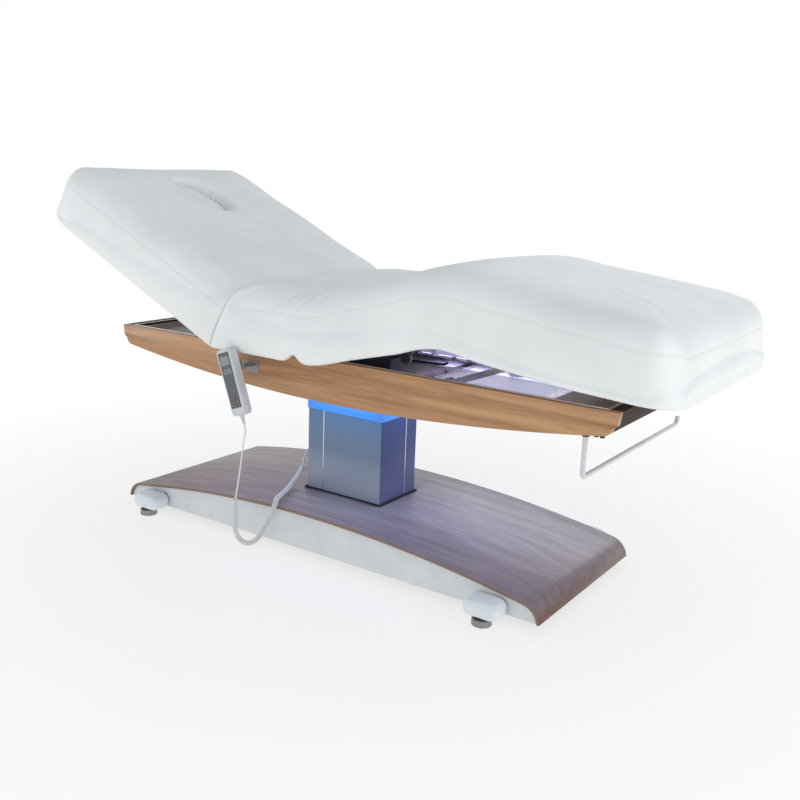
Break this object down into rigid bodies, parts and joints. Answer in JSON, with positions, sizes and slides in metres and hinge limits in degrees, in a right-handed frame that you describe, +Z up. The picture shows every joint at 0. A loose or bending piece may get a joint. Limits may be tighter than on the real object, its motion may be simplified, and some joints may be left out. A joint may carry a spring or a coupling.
{
  "type": "facial treatment bed",
  "caption": "Electric facial treatment bed with a lifting column, tilting back and leg rests, a curved wooden frame, an arched base and a wired handset.",
  "frame": {"origin": "on the floor, under the middle of the whole bed's outline in plan", "axes": "+X along the bed to the foot end, +Y across the bed away from the handset side, +Z up"},
  "size_m": [1.9198, 0.7906, 1.0313],
  "materials": {
    "white_leather": "soft satin leatherette",
    "oak": "oiled, long grain",
    "dark_oak": "oiled, dark",
    "walnut_veneer": "satin varnish over bent plywood",
    "plywood": "bare birch plywood",
    "panel_white": "satin powder coat",
    "shoe_white": "moulded, semi gloss",
    "foot_rubber": "moulded, matte",
    "frame_steel": "powder coat",
    "bright_steel": "zinc plated",
    "column_aluminium": "brushed and anodised",
    "tray_metal": "brushed sheet",
    "trim_metal": "polished edge",
    "black_rubber": "matte",
    "led_diffuser": "translucent, lit blue",
    "led_strip": "translucent, lit violet",
    "motor_black": "moulded",
    "glide_plastic": "acetal",
    "bar_metal": "light grey enamel",
    "handset_grey": "moulded, fine texture",
    "keypad_film": "printed film",
    "key_plastic": "moulded",
    "cord_white": "flexible jacket",
    "black_plastic": "moulded"
  },
  "bodies": {
    "base": {"chassis": "frame_steel", "base_cover": "walnut_veneer", "side_panels": "panel_white", "foot_shoes": "shoe_white", "control_box": "black_plastic", "mains_inlet": "black_plastic", "column_outer": "column_aluminium", "column_gasket": "black_rubber", "led_collar": "led_diffuser", "lift_tube": "motor_black", "cord_grommet": "handset_grey", "coil_cord": "cord_white"},
    "foot_head_near": {"foot_head_near": "foot_rubber"},
    "foot_head_far": {"foot_head_far": "foot_rubber"},
    "foot_foot_near": {"foot_foot_near": "foot_rubber"},
    "foot_foot_far": {"foot_foot_far": "foot_rubber"},
    "middle_stage": {"column_middle": "column_aluminium", "middle_glides": "glide_plastic", "cord_straight": "cord_white"},
    "carriage": {"column_inner": "column_aluminium", "inner_glides": "glide_plastic", "lift_rod": "bright_steel", "top_plate": "frame_steel", "support_rails": "bright_steel", "seat_frame": "frame_steel", "hinge_pins": "bright_steel", "seat_deck": "plywood", "seat_cushion": "white_leather", "side_boards": "oak", "end_boards": "dark_oak", "tray": "tray_metal", "tray_trim": "trim_metal", "led_strips": "led_strip", "back_motor": "motor_black", "leg_motor": "motor_black", "bar_sleeve": "black_plastic", "handset_rail": "bright_steel"},
    "backrest": {"back_frame": "frame_steel", "back_deck": "plywood", "back_cushion": "white_leather"},
    "face_plug": {"face_plug": "white_leather"},
    "back_rod": {"back_rod": "bright_steel"},
    "leg_rod": {"leg_rod": "bright_steel"},
    "thigh_rest": {"thigh_frame": "frame_steel", "thigh_deck": "plywood", "thigh_cushion": "white_leather"},
    "calf_rest": {"calf_frame": "frame_steel", "calf_deck": "plywood", "calf_cushion": "white_leather"},
    "knee_links": {"knee_links": "bright_steel"},
    "paper_bar": {"paper_bar": "bar_metal"},
    "handset": {"handset_front": "handset_grey", "handset_back": "handset_grey", "handset_panel": "keypad_film", "cord_boot": "handset_grey"},
    "key_up": {"key_up": "key_plastic"},
    "key_down": {"key_down": "key_plastic"},
    "key_left": {"key_left": "key_plastic"},
    "key_right": {"key_right": "key_plastic"},
    "key_stop": {"key_stop": "key_plastic"}
  },
  "joints": [
    {"name": "foot_head_near_turn", "type": "hinge", "parent": "base", "child": "foot_head_near", "pos_m": [-0.63838, -0.2917, 0.03], "axis": [0, 0, 1], "continuous": true},
    {"name": "foot_head_far_turn", "type": "hinge", "parent": "base", "child": "foot_head_far", "pos_m": [-0.63838, 0.3323, 0.03], "axis": [0, 0, 1], "continuous": true},
    {"name": "foot_foot_near_turn", "type": "hinge", "parent": "base", "child": "foot_foot_near", "pos_m": [0.53162, -0.2917, 0.03], "axis": [0, 0, 1], "continuous": true},
    {"name": "foot_foot_far_turn", "type": "hinge", "parent": "base", "child": "foot_foot_far", "pos_m": [0.53162, 0.3323, 0.03], "axis": [0, 0, 1], "continuous": true},
    {"name": "middle_stage_lift", "type": "slide", "parent": "base", "child": "middle_stage", "axis": [0, 0, 1], "range_m": [0, 0.15], "deforming": ["coil_cord"]},
    {"name": "column_lift", "type": "slide", "parent": "middle_stage", "child": "carriage", "axis": [0, 0, 1], "range_m": [0, 0.15], "deforming": ["cord_straight"]},
    {"name": "backrest_tilt", "type": "hinge", "parent": "carriage", "child": "backrest", "pos_m": [-0.30338, 0.0203, 0.585], "axis": [0, 1, 0], "range_deg": [-25, 40]},
    {"name": "face_plug_lift", "type": "slide", "parent": "backrest", "child": "face_plug", "axis": [0.4226, 0, 0.9063], "range_m": [0, 0.18]},
    {"name": "thigh_tilt", "type": "hinge", "parent": "carriage", "child": "thigh_rest", "pos_m": [0.03162, 0.0203, 0.585], "axis": [0, -1, 0], "range_deg": [-14, 16]},
    {"name": "calf_tilt", "type": "hinge", "parent": "thigh_rest", "child": "calf_rest", "pos_m": [0.39548, 0.0203, 0.67572], "axis": [0, 1, 0], "range_deg": [-21, 24]},
    {"name": "knee_link_swing", "type": "hinge", "parent": "carriage", "child": "knee_links", "pos_m": [0.32722, 0.0203, 0.5375], "axis": [0, -1, 0], "range_deg": [-18.2, 20.8]},
    {"name": "back_rod_slide", "type": "slide", "parent": "carriage", "child": "back_rod", "axis": [-1, 0, 0], "range_m": [-0.026, 0.041]},
    {"name": "leg_rod_slide", "type": "slide", "parent": "carriage", "child": "leg_rod", "axis": [1, 0, 0], "range_m": [-0.0155, 0.0175]},
    {"name": "paper_bar_swivel", "type": "hinge", "parent": "carriage", "child": "paper_bar", "pos_m": [0.74662, -0.2697, 0.52], "axis": [0, 0, 1], "range_deg": [-90, 0]},
    {"name": "handset_lift_off", "type": "slide", "parent": "carriage", "child": "handset", "axis": [0, 0, 1], "range_m": [0, 0.012]},
    {"name": "key_up_press", "type": "slide", "parent": "handset", "child": "key_up", "axis": [0, 1, 0], "range_m": [0, 0.001], "stiffness_N_per_m": 200},
    {"name": "key_down_press", "type": "slide", "parent": "handset", "child": "key_down", "axis": [0, 1, 0], "range_m": [0, 0.001], "stiffness_N_per_m": 200},
    {"name": "key_left_press", "type": "slide", "parent": "handset", "child": "key_left", "axis": [0, 1, 0], "range_m": [0, 0.001], "stiffness_N_per_m": 200},
    {"name": "key_right_press", "type": "slide", "parent": "handset", "child": "key_right", "axis": [0, 1, 0], "range_m": [0, 0.001], "stiffness_N_per_m": 200},
    {"name": "key_stop_press", "type": "slide", "parent": "handset", "child": "key_stop", "axis": [0, 1, 0], "range_m": [0, 0.001], "stiffness_N_per_m": 200}
  ],
  "couplings": [
    {"joint": "middle_stage_lift", "follows": "column_lift", "ratio": 1},
    {"joint": "calf_tilt", "follows": "thigh_tilt", "ratio": 1.5},
    {"joint": "knee_link_swing", "follows": "thigh_tilt", "ratio": 1.297},
    {"joint": "back_rod_slide", "follows": "backrest_tilt", "m_per_rad": 0.05683},
    {"joint": "leg_rod_slide", "follows": "thigh_tilt", "m_per_rad": 0.05932}
  ]
}
